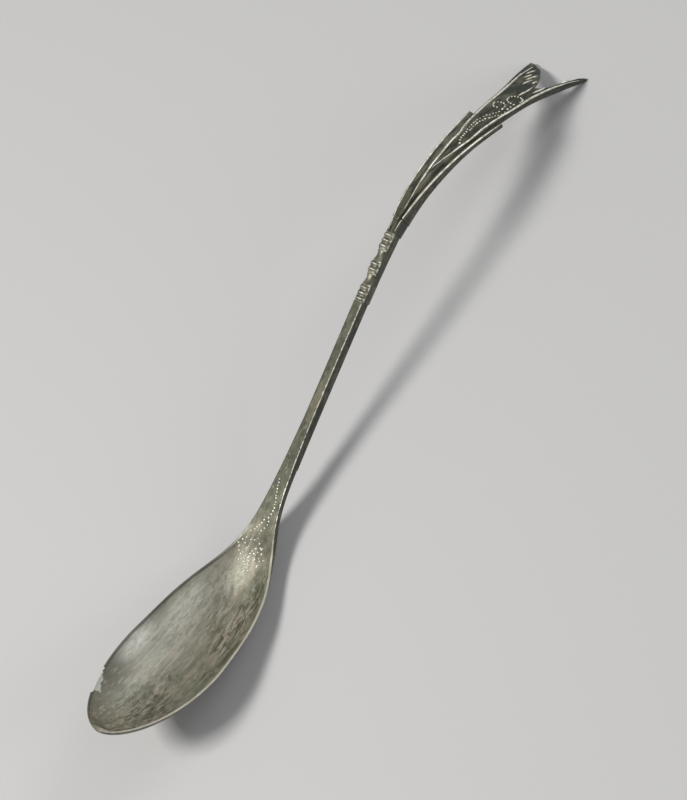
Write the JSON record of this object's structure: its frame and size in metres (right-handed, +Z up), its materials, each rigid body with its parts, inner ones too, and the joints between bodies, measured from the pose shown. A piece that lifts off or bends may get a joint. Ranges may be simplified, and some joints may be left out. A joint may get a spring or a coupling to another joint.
{
  "type": "spoon",
  "caption": "Long-handled cosmetic spoon with an oval bowl, a ridged collar and a forked leaf finial; it lies on its keel and the finial's ends.",
  "frame": {"origin": "the middle of the worn flat under the bowl, on the surface that the spoon lies on", "axes": "+X from the bowl to the finial, +Y to the spoon's left with the hollow facing up, +Z up"},
  "size_m": [0.2173, 0.0274, 0.0352],
  "materials": {
    "bowl_silver": "satin",
    "stem_silver": "satin",
    "collar_silver": "satin",
    "dark_silver": "satin"
  },
  "bodies": {
    "root": {"bowl": "bowl_silver", "stem": "stem_silver", "lower_collar": "collar_silver", "lower_reel": "collar_silver", "middle_collar": "collar_silver", "upper_reel": "collar_silver", "upper_collar": "collar_silver", "finial_leaf": "dark_silver", "left_sepal": "dark_silver", "right_sepal": "dark_silver"}
  },
  "joints": []
}
